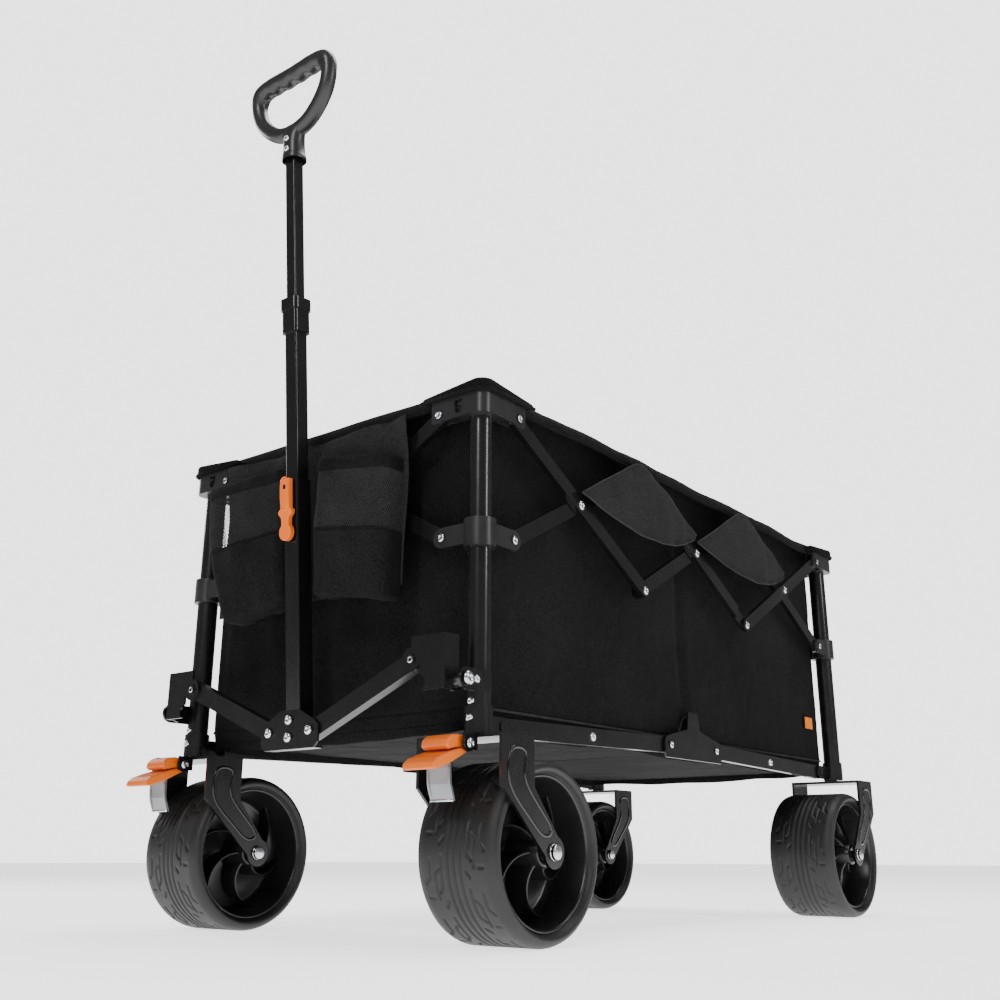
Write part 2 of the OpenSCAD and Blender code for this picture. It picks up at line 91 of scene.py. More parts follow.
# the handle's own frame: z runs up the tubes, y points to the rear
UP = Vector(JOINTS["handle_slide_lower"]["axis"]).normalized()
BACK = Vector((0, UP.z, -UP.y))
HANDLE = pivot("handle_latch_press") - UP * LATCH_UP + BACK * LATCH_FRONT


def on_handle(x, y, s):
    """A point of the handle, given in millimetres in its own frame."""
    return HANDLE + Vector((x * MM, 0, 0)) + BACK * y * MM + UP * s * MM


def on_handle_flat(x, s, y):
    """The same for a plate: across, up the tubes, then through its thickness."""
    return on_handle(x, y, s)


# ---- materials ----


def put(tree, kind, links=None, **settings):
    """Adds a node. Settings whose name is an input set that input; links joins inputs to outputs."""
    made = tree.nodes.new(kind)
    for key, value in settings.items():
        name = key.replace("_", " ")
        if name in made.inputs:
            made.inputs[name].default_value = value
        else:
            setattr(made, key, value)
    for name, source in (links or {}).items():
        tree.links.new(source, made.inputs[name])
    return made


def start(name, **values):
    """A new material with its Principled node and its object coordinates."""
    mat = bpy.data.materials.new(name)
    mat.use_nodes = True
    tree = mat.node_tree
    shader = tree.nodes["Principled BSDF"]
    for key, value in values.items():
        shader.inputs[key.replace("_", " ")].default_value = value
    place = put(tree, "ShaderNodeTexCoord").outputs["Object"]
    return mat, tree, shader, place


def ramp(tree, source, low, high, start_at=0.3, end_at=0.7):
    """Turns a texture's value into a colour between two colours."""
    made = tree.nodes.new("ShaderNodeValToRGB")
    made.color_ramp.elements[0].position = start_at
    made.color_ramp.elements[0].color = (*low, 1)
    made.color_ramp.elements[1].position = end_at
    made.color_ramp.elements[1].color = (*high, 1)
    tree.links.new(source, made.inputs["Fac"])
    return made.outputs["Color"]


def spread(tree, source, low, high):
    """Maps a texture's value to a range, for roughness."""
    made = put(tree, "ShaderNodeMapRange", {"Value": source}, To_Min=low, To_Max=high)
    return made.outputs["Result"]


def grain(name, low, high, rough, scale, bump, distance=0.2 * MM, metallic=0.0, coat=0.0):
    """A hard finish: slow colour change, uneven gloss and a fine surface grain."""
    mat, tree, shader, place = start(name, Metallic=metallic, Coat_Weight=coat)
    slow = put(tree, "ShaderNodeTexNoise", {"Vector": place}, Scale=14.0, Detail=5.0)
    fine = put(tree, "ShaderNodeTexNoise", {"Vector": place}, Scale=scale, Detail=4.0)
    tree.links.new(ramp(tree, slow.outputs["Fac"], low, high), shader.inputs["Base Color"])
    smear = put(tree, "ShaderNodeTexNoise", {"Vector": place}, Scale=55.0, Detail=6.0)
    tree.links.new(spread(tree, smear.outputs["Fac"], *rough), shader.inputs["Roughness"])
    relief = put(
        tree, "ShaderNodeBump", {"Height": fine.outputs["Fac"]}, Strength=bump, Distance=distance,
    )
    tree.links.new(relief.outputs["Normal"], shader.inputs["Normal"])
    return mat


def cloth(name, low, high, pitch, bump, sheen=0.01, creases=0.35):
    """A plain weave of that pitch, with lighter and darker yarns and soft creases."""
    mat, tree, shader, place = start(name, Roughness=0.9, Sheen_Weight=sheen, Specular_IOR_Level=0.05)
    axes = put(tree, "ShaderNodeSeparateXYZ", {"Vector": place}).outputs
    along = put(tree, "ShaderNodeMath", {0: axes["X"], 1: axes["Y"]}, operation="ADD").outputs[0]
    warp = put(tree, "ShaderNodeMath", operation="SINE")
    weft = put(tree, "ShaderNodeMath", operation="SINE")
    for yarn, source in ((warp, along), (weft, axes["Z"])):
        turns = put(tree, "ShaderNodeMath", {0: source}, operation="MULTIPLY")
        turns.inputs[1].default_value = 2 * math.pi / pitch
        tree.links.new(turns.outputs[0], yarn.inputs[0])
    weave = put(tree, "ShaderNodeMath", {0: warp.outputs[0], 1: weft.outputs[0]}, operation="MULTIPLY")
    melange = put(tree, "ShaderNodeTexNoise", {"Vector": place}, Scale=420.0, Detail=3.0)
    patchy = put(tree, "ShaderNodeTexNoise", {"Vector": place}, Scale=6.0, Detail=4.0)
    both = put(tree, "ShaderNodeMath", operation="MULTIPLY")
    tree.links.new(melange.outputs["Fac"], both.inputs[0])
    lift = put(tree, "ShaderNodeMath", {0: patchy.outputs["Fac"]}, operation="ADD")
    lift.inputs[1].default_value = 0.5
    tree.links.new(lift.outputs[0], both.inputs[1])
    colour = ramp(tree, both.outputs[0], low, high, 0.25, 0.75)
    tree.links.new(colour, shader.inputs["Base Color"])
    crease = put(tree, "ShaderNodeTexNoise", {"Vector": place}, Scale=17.0, Detail=3.0, Distortion=0.8)
    big = put(
        tree, "ShaderNodeBump", {"Height": crease.outputs["Fac"]}, Strength=creases, Distance=8 * MM,
    )
    small = put(
        tree, "ShaderNodeBump", {"Height": weave.outputs[0], "Normal": big.outputs["Normal"]},
        Strength=bump, Distance=0.15 * MM,
    )
    tree.links.new(small.outputs["Normal"], shader.inputs["Normal"])
    return mat


BLACK = (0.003, 0.003, 0.0034)
DULL_BLACK = (0.003, 0.003, 0.0033)
DARK_YARN, PALE_YARN = (0.02, 0.02, 0.021), (0.05, 0.05, 0.052)

# hard finishes: two colours, range of roughness, grain scale and strength
STEEL = grain("powder_coat", BLACK, (0.006, 0.006, 0.0066), (0.2, 0.3), 300, 0.012, coat=0.1)
TUBE = grain("gloss_paint", BLACK, (0.005, 0.005, 0.0055), (0.16, 0.24), 200, 0.006, coat=0.1)
PLASTIC = grain(
    "moulded_plastic", (0.008, 0.008, 0.0085), (0.015, 0.015, 0.016), (0.3, 0.44), 1800, 0.2,
)
GRIP = grain("grip_plastic", (0.009, 0.009, 0.0095), (0.016, 0.016, 0.017), (0.28, 0.42), 1500, 0.25)
RIM = grain("rim_plastic", (0.006, 0.006, 0.006), (0.011, 0.011, 0.012), (0.22, 0.38), 1200, 0.15)
TYRE = grain("tyre_rubber", (0.002, 0.002, 0.002), (0.005, 0.005, 0.0053), (0.46, 0.62), 700, 0.2)
ORANGE = grain("orange_plastic", (0.72, 0.125, 0.0), (0.82, 0.15, 0.0), (0.42, 0.55), 1400, 0.2)
ZINC = grain("zinc", (0.55, 0.57, 0.6), (0.78, 0.8, 0.84), (0.16, 0.34), 600, 0.15, metallic=1.0)
GALVANISED = grain(
    "galvanised_steel", (0.2, 0.205, 0.215), (0.32, 0.325, 0.34), (0.3, 0.48), 300, 0.2, metallic=0.8,
)

# cloths: two colours, pitch and relief of the weave
CANVAS = cloth("black_canvas", DULL_BLACK, (0.013, 0.013, 0.0135), 1.1 * MM, 0.5, creases=0.6)
GREY = cloth("grey_canvas", (0.01, 0.01, 0.0103), (0.028, 0.0275, 0.0275), 1.3 * MM, 0.8, creases=0.25)
NET = cloth("pocket_net", DARK_YARN, PALE_YARN, 0.9 * MM, 0.6, creases=0.0)
TAPE = cloth("binding_tape", DULL_BLACK, (0.011, 0.011, 0.0115), 1.6 * MM, 0.9, creases=0.1)
THREAD = cloth("stitching", DARK_YARN, PALE_YARN, 0.9 * MM, 0.9, creases=0.0)
LABEL = cloth("woven_label", (0.5, 0.12, 0.015), (0.85, 0.22, 0.03), 0.8 * MM, 0.6, creases=0.1)

# ---- mesh helpers ----


def make(name, verts, faces, mat, body=None, slot=None, smooth=True):
    """A mesh piece, riding on a body."""
    mesh = bpy.data.meshes.new(name)
    mesh.from_pydata([tuple(v) for v in verts], [], faces)
    mesh.update()
    mesh.materials.append(mat)
    if smooth:
        mesh.shade_smooth()
    obj = bpy.data.objects.new(name, mesh)
    bpy.context.collection.objects.link(obj)
    if body:
        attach(obj, body)
    return obj


def bevel(obj, width, segments, angle):
    """Rounds the edges that are sharper than that angle, in degrees."""
    mod = obj.modifiers.new("bevel", "BEVEL")
    mod.width = width
    mod.segments = segments
    mod.limit_method = "ANGLE"
    mod.angle_limit = math.radians(angle)


def thicken(obj, thickness):
    mod = obj.modifiers.new("thickness", "SOLIDIFY")
    mod.thickness = thickness
    mod.offset = 0.0


def quads(rows, columns, wrap_rows=False, wrap_columns=False):
    """Faces of a grid of points, stored row by row."""
    faces = []
    for i in range(rows if wrap_rows else rows - 1):
        for k in range(columns if wrap_columns else columns - 1):
            a, b = i * columns + k, i * columns + (k + 1) % columns
            c, d = ((i + 1) % rows) * columns + (k + 1) % columns, ((i + 1) % rows) * columns + k
            faces.append((a, b, c, d))
    return faces


def surface(name, point, across, up, mat, **where):
    """A curved sheet: point(u, v) for u and v from 0 to 1."""
    verts = [point(k / across, i / up) for i in range(up + 1) for k in range(across + 1)]
    return make(name, verts, quads(up + 1, across + 1), mat, **where)


def circle(count):
    """Angles of that many points round a full turn."""
    return [2 * math.pi * k / count for k in range(count)]


def revolve(profile, centre, axis, turns):
    """Points of a profile of (along, radius) turned round an axis."""
    axis = Vector(axis).normalized()
    side = axis.orthogonal().normalized()
    other = axis.cross(side)
    return [centre + axis * along + (side * math.cos(a) + other * math.sin(a)) * radius
            for along, radius in profile for a in circle(turns)]


def lathe(name, profile, centre, axis, mat, turns, **where):
    faces = quads(len(profile), turns, wrap_columns=True)
    return make(name, revolve(profile, centre, axis, turns), faces, mat, **where)


def smooth_path(points, steps, closed=False):
    """A Catmull-Rom curve through the points."""
    pts = [Vector(p) for p in points]
    count = len(pts)
    out = []
    for i in range(count if closed else count - 1):
        if closed:
            a, b, c, d = (pts[(i + k - 1) % count] for k in range(4))
        else:
            a, b, c, d = pts[max(i - 1, 0)], pts[i], pts[i + 1], pts[min(i + 2, count - 1)]
        for k in range(steps):
            t = k / steps
            out.append(0.5 * (2 * b + (c - a) * t + (2 * a - 5 * b + 4 * c - d) * t * t
                              + (3 * b - a - 3 * c + d) * t ** 3))
    if not closed:
        out.append(pts[-1])
    return out


def sweep(name, path, section, mat, flat_normal, closed=False, **where):
    """Sweeps section(i), a list of (in plane, out of plane) offsets, along a path near one plane."""
    normal = Vector(flat_normal).normalized()
    count = len(path)
    verts = []
    for i in range(count):
        ahead = path[(i + 1) % count] if closed else path[min(i + 1, count - 1)]
        back = path[i - 1] if closed else path[max(i - 1, 0)]
        side = (ahead - back).cross(normal).normalized()
        verts += [path[i] + side * a + normal * b for a, b in section(i)]
    sides = len(section(0))
    faces = quads(count, sides, wrap_rows=closed, wrap_columns=True)
    if not closed:
        faces.append(tuple(range(sides))[::-1])
        faces.append(tuple(range((count - 1) * sides, count * sides)))
    return make(name, verts, faces, mat, **where)


def ring(radius, other, sides):
    """A section for sweep: an ellipse of that many sides."""
    return [(radius * math.cos(a), other * math.sin(a)) for a in circle(sides)]


def prism(name, outline, depth, place, mat, **where):
    """A plate: an outline in (a, b) at both depths, put in space by place(a, b, c)."""
    count = len(outline)
    verts = [place(a, b, c) for c in depth for a, b in outline]
    faces = [tuple(range(count))[::-1], tuple(range(count, 2 * count))]
    faces += [(k, (k + 1) % count, count + (k + 1) % count, count + k) for k in range(count)]
    return make(name, verts, faces, mat, smooth=False, **where)


# a rivet head with a dimple, from the plate to the middle: shares of its height and radius
RIVET = [(0, 1.0), (0.45, 0.97), (0.8, 0.78), (0.95, 0.5), (0.96, 0.42), (0.8, 0.36), (0.78, 0.001)]
RIVET_SIDES = 24


def domes(name, places, body, radius=5.8 * MM, height=2.6 * MM):
    """Rivet heads: places are (centre, outward direction)."""
    profile = [(along * height, share * radius) for along, share in RIVET]
    verts, faces = [], []
    for centre, out in places:
        first = len(verts)
        verts += revolve(profile, centre, out, RIVET_SIDES)
        one_head = quads(len(profile), RIVET_SIDES, wrap_columns=True)
        faces += [tuple(first + v for v in face) for face in one_head]
    return make(name, verts, faces, ZINC, body=body)


def soft(place, scale, size):
    """Smooth pseudo-random movement of a point, the same at each run."""
    return noise.noise(Vector(place) * scale) * size


def ease(t):
    """A smooth step from 0 to 1."""
    t = min(max(t, 0.0), 1.0)
    return t * t * (3 - 2 * t)


def bump_at(t, centre, width):
    """A bell curve of height 1."""
    return math.exp(-((t - centre) / width) ** 2)


def fold_y(obj):
    """Cloth along the sides: gives the piece its own copy of its mesh."""
    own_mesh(obj)


def fold_x(obj):
    """Cloth across the ends: gives the piece its own copy of its mesh."""
    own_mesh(obj)


# ---- CAD nodes that stay: better material and softened edges ----


# beginnings of node names, material, width of the bevel
DRESS = (
    (("corner_post", "brace_", "centre_plate", "castor_fork", "side_rail", "middle_bracket"),
     STEEL, 0.8 * MM),
    (("side_bar", "front_bar", "rear_bar"), STEEL, 1.4 * MM),
    (("handle_lower_tube", "handle_middle_tube", "handle_top_tube"), TUBE, 0.5 * MM),
    (("corner_cap", "slider"), PLASTIC, 1.2 * MM),
    (("handle_grip", "handle_latch", "brake_pedal", "wheel", "fabric", "front_pockets"), GRIP, 0.5 * MM),
)


def dress_frame():
    for starts, mat, width in DRESS:
        for name, obj in frame["nodes"].items():
            if name.startswith(starts):
                for one in obj.material_slots:
                    one.material = mat
                bevel(obj, width, 2, 40)


# ---- wheels ----

# all in millimetres: grooves round the tyre, then strokes of the side pattern, from and to a
# point (across, around)
TREAD_RINGS = (-9, 0, 9)
TREAD_SIDE = [((18, 4), (18, 36)), ((18, 36), (24, 43)), ((27, 22), (27, 50)), ((27, 22), (22, 16)),
              ((35, 8), (35, 26)), ((35, 26), (41, 33)), ((33, 50), (40, 50)), ((16, 54), (21, 60))]
RING_DEPTH, RING_HALF = 3.0, 2.0
STROKE_DEPTH, STROKE_HALF = 1.8, 1.7
REPEATS = 9  # of the side pattern, round the tyre
STEPS_PER_REPEAT = 38
TREAD_FROM = 96  # radius where the grooves begin


def tread_depth(across, around):
    """Groove depth in millimetres, at arrays of (across, around) in millimetres."""
    pitch = 2 * math.pi * TYRE_R / REPEATS
    depth = np.zeros_like(across)
    for centre in TREAD_RINGS:
        depth = np.maximum(depth, RING_DEPTH * np.clip(RING_HALF - np.abs(across - centre), 0, 1))
    shifted = np.where(across > 0, around, around + pitch / 2) % pitch
    for (a0, s0), (a1, s1) in TREAD_SIDE:
        line = np.array([a1 - a0, s1 - s0], float)
        for wrap in (-pitch, 0, pitch):
            da, ds = np.abs(across) - a0, shifted + wrap - s0
            t = np.clip((da * line[0] + ds * line[1]) / (line @ line), 0, 1)
            far = np.hypot(da - t * line[0], ds - t * line[1])
            depth = np.maximum(depth, STROKE_DEPTH * np.clip(STROKE_HALF - far, 0, 1))
    return depth


def tyre(name, centre, body):
    w = TREAD_HALF
    shoulder, drop = 15, 2.4  # width and drop of the rounding towards the side wall
    edge = [(w - 8, 83.9), (w - 7, 85.4), (w - 4, 86.2), (w - 1.7, 87.4), (w - 0.4, 89.4), (w, 91.4),
            (w - 0.5, 93.4), (w - 1.7, 95.3), (w - 3.4, 96.8)]
    flat = np.linspace(5 - w, w - 5, 80)
    crown = TYRE_R - drop * np.clip((np.abs(flat) - w + shoulder) / (shoulder - 5), 0, 1) ** 2
    profile = [(-a, r) for a, r in edge] + list(zip(flat, crown)) + [(a, r) for a, r in edge[::-1]]
    across, radius = (np.array(v, float) for v in zip(*profile))
    steps = STEPS_PER_REPEAT * REPEATS
    turn = np.arange(steps) * 2 * math.pi / steps
    grid_a, grid_t = np.meshgrid(across, turn)
    depth = tread_depth(grid_a, grid_t * TYRE_R) * np.where(radius > TREAD_FROM, 1.0, 0.0)
    r = (radius - depth) * MM
    y, z = centre.y + r * np.cos(grid_t), centre.z + r * np.sin(grid_t)
    verts = np.stack([grid_a * MM + centre.x, y, z], -1)
    faces = quads(steps, len(across), wrap_rows=True)
    return make(name, verts.reshape(-1, 3).tolist(), faces, TYRE, body=body, slot="tyre_rubber")


def rim(name, centre, body):
    """Deep dished rim, a web in the middle and swept vanes on both sides."""
    w = TREAD_HALF
    barrel = [(w - 7, 83.8), (w - 6.6, 82.2), (w - 7.6, 81.2), (w - 10, 80.6), (14, 75), (4, 72),
              (2.5, 69), (2.5, 19), (5, 17.5), (w - 8, 16.5), (w - 6, 15), (w - 6, 6.5)]
    profile = [(a * MM, r * MM) for a, r in barrel]
    profile += [(-a * MM, r * MM) for a, r in barrel[::-1]]
    lathe(name, profile, centre, (1, 0, 0), RIM, 96, body=body, slot="tyre_rubber")
    verts, faces = [], []
    vanes, steps = 6, 14
    hub, reach, swing = 15, 61, 0.95  # a vane's inner radius, its length and its turn
    for side in (-1, 1):
        for n in range(vanes):
            for k in range(steps + 1):
                t = k / steps
                r = hub + reach * t
                a = side * (2 * math.pi * n / vanes + swing * t ** 1.4)
                top = w - 15 - 21 * t ** 0.8
                for x, half in ((2, 1.8), (top - 1, 1.5), (top, 0.7)):
                    for s in (-1, 1):
                        b = a + s * half / r
                        verts.append(centre + Vector((side * x, r * math.cos(b), r * math.sin(b))) * MM)
            first = len(verts) - 6 * (steps + 1)
            for k in range(steps):
                a, b = first + 6 * k, first + 6 * (k + 1)
                for m, q in ((0, 2), (2, 4), (4, 5), (5, 3), (3, 1)):
                    faces.append((a + m, a + q, b + q, b + m))
    make(name + "_vanes", verts, faces, RIM, body=body, slot="tyre_rubber")


# a flanged nut with the bolt's end: (along, radius) in millimetres
AXLE_NUT = [(0, 9.2), (1.2, 9.2), (1.3, 8.4), (4.2, 8.2), (4.9, 7.2), (4.6, 5.2), (4.9, 4.4), (4.9, 0.01)]


def wheels():
    profile = [(along * MM, radius * MM) for along, radius in AXLE_NUT]
    for corner, _, _, holder in CORNERS:
        node = "wheel_" + corner
        centre = pivot("wheel_spin_" + corner)
        outside = tyre("tyre_" + corner, centre, node)
        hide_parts(node)
        rim("rim_" + corner, centre, node)
        for side, tag in SIDES:
            at = centre + Vector((side * (FORK_FACE - 0.1 * MM), 0, 0))
            lathe(f"axle_nut_{corner}_{tag}", profile, at, (side, 0, 0), ZINC, 36, body=holder)


# ---- castor forks: pressed channel on each leg ----

FRONT_RUN, REAR_RUN = 65 * MM, 55 * MM  # from the stem to the wheel centre, towards the middle
# the channel's outline: a place from the stem towards the wheel, in millimetres or, up to 1, as a
# share of the run; then the height in millimetres
CHANNEL = [(-13, 205), (-14, 168), (0.36, 132), (0.66, 118), (0.86, 119), (0.84, 130), (14, 172),
           (13, 205)]


def fork_trim():
    for corner, _, sy, holder in CORNERS:
        hub = pivot("wheel_spin_" + corner)
        run = FRONT_RUN if sy < 0 else -REAR_RUN
        stem_y = hub.y - run
        for side, tag in SIDES:
            x = hub.x + side * FORK_FACE
            points = []
            for a, z in CHANNEL:
                y = stem_y + (-sy * a * MM if abs(a) > 1 else run * a)
                points.append(Vector((x, y, z * MM)))
            path = smooth_path(points, 6, closed=True)
            sweep(f"fork_channel_{corner}_{tag}", path, lambda i: ring(2.2 * MM, 1.5 * MM, 10), STEEL,
                  (1, 0, 0), closed=True, body=holder, slot="painted_steel")


# ---- brakes ----


def brakes():
    for corner in ("fr", "fl"):
        body = "brake_pedal_" + corner
        at = pivot("brake_press_" + corner)

        def place(y, z, x):
            return at + Vector((x, y, z)) * MM

        pad = [(3, 8), (-8, 9.8), (-20, 8.6), (-27, 3), (-29, -4), (-24, -7.5), (-12, -5), (4, -4)]
        upper = prism(body + "_upper_step", pad, (-19, 19), place, ORANGE, body=body,
                      slot="orange_plastic")
        step = [(4, -3), (-14, -7), (-28, -11), (-46, -17.5), (-53, -23), (-54, -29.5), (-47, -29.5),
                (-22, -20.5), (2, -9)]
        lower = prism(body + "_lower_step", step, (-22.4, 22.4), place, ORANGE, body=body,
                      slot="orange_plastic")
        tongue = [(-21, -19.8), (-17, -18.2), (-16, -42), (-9.5, -60), (-13, -61.4), (-19, -43)]
        metal = prism(body + "_tongue", tongue, (-16, 16), place, GALVANISED, body=body)
        lip = [place(-13.6, -59.8, x) for x in (-16, 0, 16)]
        sweep(body + "_lip", lip, lambda i: ring(1.4 * MM, 1.4 * MM, 12), ZINC, (0, 0, 1), body=body)
        for x, tag in ((-15, "left"), (15, "right")):
            rib = smooth_path([place(-20, -24, x), place(-19, -43, x), place(-13, -59, x)], 6)
            sweep(f"{body}_rib_{tag}", rib, lambda i: ring(1.5 * MM, 1.5 * MM, 10), GALVANISED, (1, 0, 0),
                  body=body)
        bevel(upper, 2.6 * MM, 4, 25)
        bevel(lower, 2.0 * MM, 4, 25)
        bevel(metal, 0.7 * MM, 2, 25)
        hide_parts(body)
        holder = "castor_fork_" + corner
        cheek = 27.8 * MM  # outer face of the fork's cheeks, from the pedal's middle
        places = [(at + Vector((s * cheek, 0, 0)), (s, 0, 0)) for s in (-1, 1)]
        domes(f"brake_screws_{corner}", places, holder, radius=5.5 * MM)


# ---- handle ----


def latch():
    """Thumb lever: a clip with a window above, ears, a waist and a round thumb pad."""
    pad = [(11 * math.sin(a), 245 - 11 * math.cos(a)) for a in np.linspace(-2.45, 2.45, 24)]
    outline = pad + [(6.6, 257), (7.4, 264), (12.4, 269.5), (12, 273.5), (8.4, 276), (8.4, 315),
                     (-8.4, 315), (-8.4, 276), (-12, 273.5), (-12.4, 269.5), (-7.4, 264), (-6.6, 257)]
    face = -22.5
    plate = prism("latch_lever", outline, (face, -15.4), on_handle_flat, ORANGE, body="handle_latch",
                  slot="orange_plastic")
    bevel(plate, 1.0 * MM, 3, 30)
    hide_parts("handle_latch")
    frame_line = [(-5.6, 278), (5.6, 278), (5.6, 312.5), (-5.6, 312.5)]
    path = [on_handle_flat(x, s, face - 0.1) for x, s in frame_line]
    sweep("latch_rib", smooth_path(path, 5, closed=True), lambda i: ring(1.1 * MM, 0.9 * MM, 8), ORANGE,
          BACK, closed=True, body="handle_latch", slot="orange_plastic")
    window = [(-2.4, 301), (2.4, 301), (2.4, 307), (-2.4, 307)]
    hole = prism("latch_window", window, (face - 0.5, -20), on_handle_flat, STEEL, body="handle_latch")
    bevel(hole, 0.5 * MM, 2, 30)


def grip():
    """Looped grip: one closed loop with finger waves under the hand bar, and a flared neck."""
    half = [(0, 822), (27, 827), (49, 842), (66, 864), (72, 889), (65, 908), (43, 912), (21, 911.5)]
    points = half + [(0, 911)] + [(-x, s) for x, s in half[:0:-1]]
    path = smooth_path([on_handle(x, 0, s) for x, s in points], 12, closed=True)
    finger, wave_depth = 88 / 3.5, 1.7  # pitch and depth of the finger waves, in millimetres

    def section(i):
        at = path[i] - HANDLE
        across, up = at.x / MM, at.dot(UP) / MM
        top = ease((up - 885) / 20)
        wave = wave_depth * math.cos(2 * math.pi * across / finger) * ease((62 - abs(across)) / 14) * top
        a = (10.6 + 2.2 * top) * MM
        b = (11.2 + 1.6 * top) * MM
        turn = [(math.cos(t), math.sin(t)) for t in circle(24)]
        return [((a - wave * MM * max(0.0, ca)) * ca, b * sa) for ca, sa in turn]

    loop = sweep("grip_loop", path, section, GRIP, BACK, closed=True, body="handle_top",
                 slot="black_plastic")
    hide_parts("handle_grip")
    levels = [(776, 16.5, 16), (779, 17.2, 16.5), (783, 16, 15.5), (790, 14.6, 14.2), (806, 14.6, 14),
              (816, 17.5, 13), (823, 24, 12), (828, 30, 10)]
    verts = []
    for s, a, b in levels:
        for x, y in ring(a, b, 28):
            pull = 0.86 if s < 812 else 1.0
            x2 = math.copysign(abs(x / a) ** pull, x) * a
            y2 = math.copysign(abs(y / b) ** pull, y) * b
            verts.append(on_handle(x2, y2, s))
    neck = make("grip_neck", verts, quads(len(levels), 28, wrap_columns=True), GRIP, body="handle_top",
                slot="black_plastic")
    sub = neck.modifiers.new("smooth", "SUBSURF")
    sub.levels = sub.render_levels = 1
    for name, sy in (("grip_screws", -1), ("grip_screws_rear", 1)):
        places = [(on_handle(0, sy * 13.8, s), BACK * sy) for s in (791, 807)]
        domes(name, places, "handle_top", radius=4.6 * MM)


# ---- rivets ----


def rivets():
    out_x = HALF_W + BAR_FACE
    out_y = HALF_L + BAR_FACE
    for side, tag in SIDES:
        heads = {1: [f"{tag}_cross_1", f"{tag}_low_1"], 4: [f"{tag}_cross_2"],
                 5: [f"{tag}_cross_3", f"{tag}_low_2"]}
        for number, names in heads.items():
            places = [(Vector((side * out_x, pivot(n).y, pivot(n).z)), (side, 0, 0)) for n in names]
            if number == 4:
                high = 2 * pivot(f"{tag}_cross_2") - pivot(f"{tag}_low_2")
                places.append((Vector((side * out_x, high.y, high.z)), (side, 0, 0)))
            domes(f"side_rivets_{tag}_{number}", places, f"side_bar_{tag}_{number}")
    for sy, tag in ((-1, "front"), (1, "rear")):
        heads = {1: [f"{tag}_cross_1"], 3: [f"{tag}_cross_2", f"{tag}_low"]}
        for number, names in heads.items():
            places = [(Vector((pivot(n).x, MID_Y + sy * out_y, pivot(n).z)), (0, sy, 0)) for n in names]
            domes(f"{tag}_rivets_{number}", places, f"{tag}_bar_{number}")
    cap = pivot("fold")
    slide = pivot("slider_fr_pivot")
    reach = MID_Y - cap.y
    ex = pivot("front_cap_pivot").x
    for corner, sx, sy, _ in CORNERS:
        y = MID_Y + sy * reach
        for name, face, z, body in (("cap_rivets_", CAP_FACE, cap.z, "corner_"),
                                    ("slider_rivets_", SLIDER_FACE, slide.z, "slider_")):
            places = [(Vector((sx * (HALF_W + face), y, z)), (sx, 0, 0)),
                      (Vector((sx * ex, MID_Y + sy * (HALF_L + face), z)), (0, sy, 0))]
            domes(name + corner, places, body + corner)


def mount_rivets():
    front = MID_Y - HALF_L
    for sx, tag, corner in ((1, "right", "fr"), (-1, "left", "fl")):
        top = pivot(f"brace_{tag}_top")
        face = front - PLATE_FACE
        places = [(Vector((top.x, face + 2 * MM, top.z)), (0, -1, 0))]
        domes("brace_rivet_" + tag, places, "brace_bracket_" + tag)
        tilt = pivot("handle_tilt")
        ear = sx * (HALF_W + 14.2 * MM)
        domes("foot_rivets_" + corner, [(Vector((ear, tilt.y + 17 * MM, tilt.z + 1 * MM)), (sx, 0, 0)),
              (Vector((sx * HALF_W, front - 14 * MM, 0.262)), (0, -1, 0)),
              (Vector((sx * HALF_W, front - 16.2 * MM, 0.243)), (0, -1, 0))], "corner_" + corner,
              radius=4.6 * MM)
        domes("tilt_bolt_" + corner, [(Vector((sx * (HALF_W + 16.8 * MM), tilt.y, tilt.z)), (sx, 0, 0))],
              "brace_bracket_" + tag, radius=8 * MM, height=3.4 * MM)
    spots = [(-36, 240), (36, 240), (0, 254), (0, 233)]
    places = [(Vector((x * MM, front - PLATE_FACE, z * MM)), (0, -1, 0)) for x, z in spots]
    domes("plate_rivets", places, "handle_base")
    for side, tag, f, r in ((1, "right", "fr", "rr"), (-1, "left", "fl", "rl")):
        mid = pivot(f"middle_bracket_{tag}_pivot")
        half = MID_Y - mid.y
        face = side * (HALF_W - 2.1 * MM)
        places = [(Vector((face, MID_Y + s * half, mid.z)), (side, 0, 0)) for s in (-1, 1)]
        domes("middle_rivets_" + tag, places, "middle_bracket_" + tag)
        rail_face = side * (HALF_W - 6 * MM)
        for corner, sy in ((f, -1), (r, 1)):
            foot = pivot(f"rail_{corner}_foot")
            middle = Vector((rail_face, (foot.y + MID_Y + sy * half) / 2, (foot.z + mid.z) / 2))
            domes("rail_rivet_" + corner, [(middle, (side, 0, 0))], "side_rail_" + corner,
                  radius=5.5 * MM)


# ---- fabric ----

ROLL_FROM = 0.8  # share of a wall's height where the rolled rim begins
ROLL_START = 14 * MM  # the same place, below the tops of the caps
SKIN, SKIRT_SKIN = 1.4 * MM, 1.2 * MM  # thickness of the walls and flaps, and of the skirts
NOTCH_HEIGHT, NOTCH_WIDTH = 34 * MM, 16 * MM  # the seam's rise in the middle of each side


def hem_roll(t):
    """Offset outward and height of the rolled rim, for t from 0 (wall) to 1 (outer edge)."""
    stops = [(0, -14), (2, 4), (7, 13), (15, 17), (23, 14), (26.5, 6), (27, -3)]
    scaled = t * (len(stops) - 1)
    i = min(int(scaled), len(stops) - 2)
    f = ease(scaled - i)
    return tuple((stops[i][k] * (1 - f) + stops[i + 1][k] * f) * MM for k in (0, 1))


